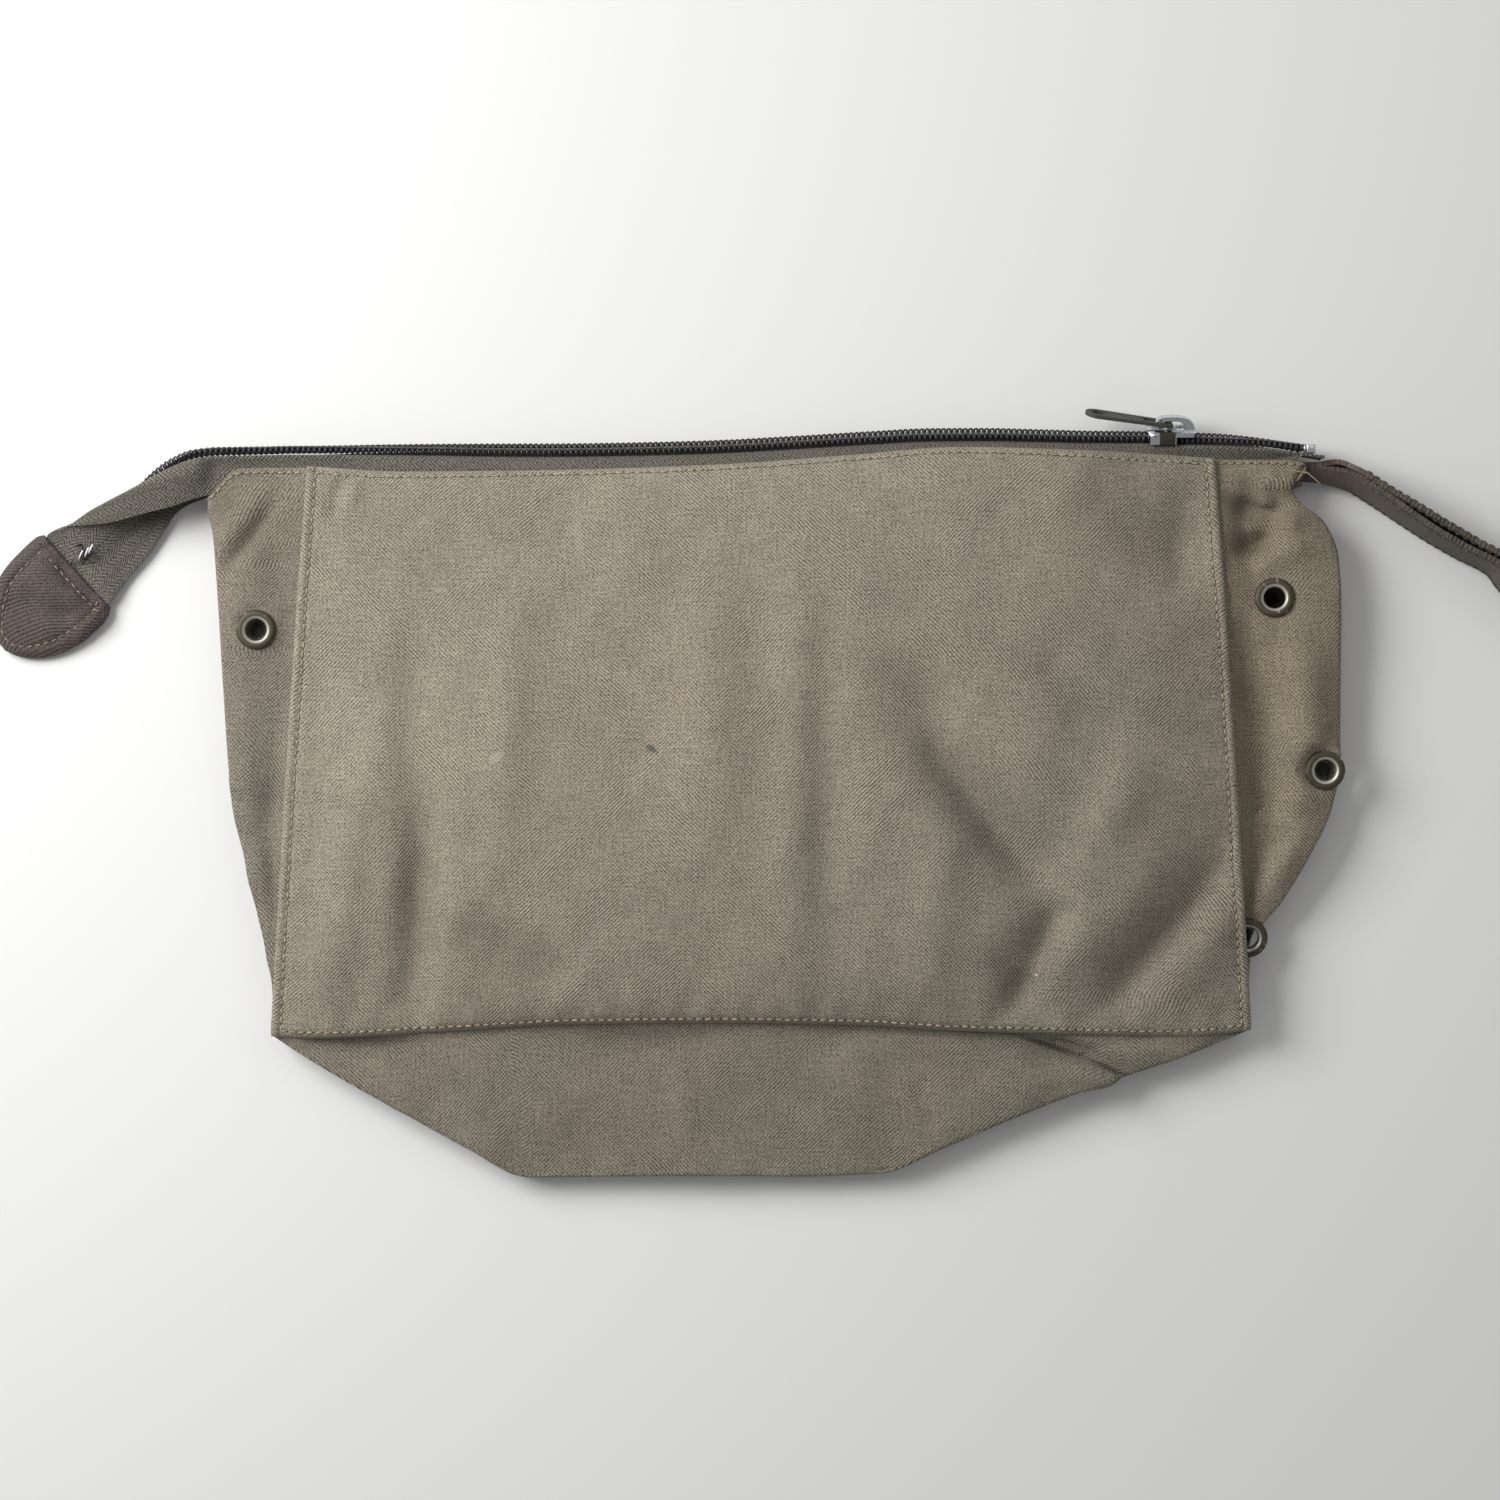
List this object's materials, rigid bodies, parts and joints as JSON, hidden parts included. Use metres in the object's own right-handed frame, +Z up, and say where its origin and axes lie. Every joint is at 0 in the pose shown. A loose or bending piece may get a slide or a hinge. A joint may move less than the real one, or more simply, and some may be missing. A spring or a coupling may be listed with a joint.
{
  "type": "toiletry bag",
  "caption": "Canvas toiletry bag with a zip along its top, folded side walls and bottom, metal eyelets and a hanging loop, lying flat on its back.",
  "frame": {"origin": "centre of the back panel's resting face", "axes": "+X along the zip, towards the hanging loop; +Y from the bottom panel to the zip; +Z up from the surface the bag lies on"},
  "size_m": [0.482, 0.237, 0.029],
  "materials": {
    "panel_canvas": "olive-grey plain weave canvas",
    "strip_canvas": "olive-grey plain weave canvas",
    "zip_tape": "woven zip tape",
    "coil_plastic": "near-black nylon coil",
    "bright_metal": "bright plated metal",
    "pull_metal": "dark grey-green paint",
    "eyelet_metal": "olive paint worn to bright metal",
    "tab_cloth": "brownish twill",
    "loop_cloth": "dark twill band"
  },
  "bodies": {
    "bag": {"front_panel": "panel_canvas", "back_panel": "panel_canvas", "gusset_left": "strip_canvas", "gusset_right": "strip_canvas", "bottom_panel": "strip_canvas", "eyelet_left_top": "eyelet_metal", "eyelet_right_top": "eyelet_metal", "eyelet_right_middle": "eyelet_metal", "eyelet_right_low": "eyelet_metal", "zip_tape_front": "zip_tape", "zip_tape_back": "zip_tape", "zip_coil_front": "coil_plastic", "zip_coil_back": "coil_plastic", "zip_top_stop_front": "bright_metal", "zip_top_stop_back": "bright_metal", "zip_bottom_stop": "bright_metal", "zip_slider": "bright_metal", "end_tab": "tab_cloth", "hanging_loop": "loop_cloth"},
    "pull": {"zip_pull": "pull_metal"}
  },
  "joints": [
    {"name": "pull_swing", "type": "hinge", "parent": "bag", "child": "pull", "pos_m": [0.12562, 0.09884, 0.00942], "axis": [0, -0.3367, 0.9416], "range_deg": [-140, 12]}
  ]
}
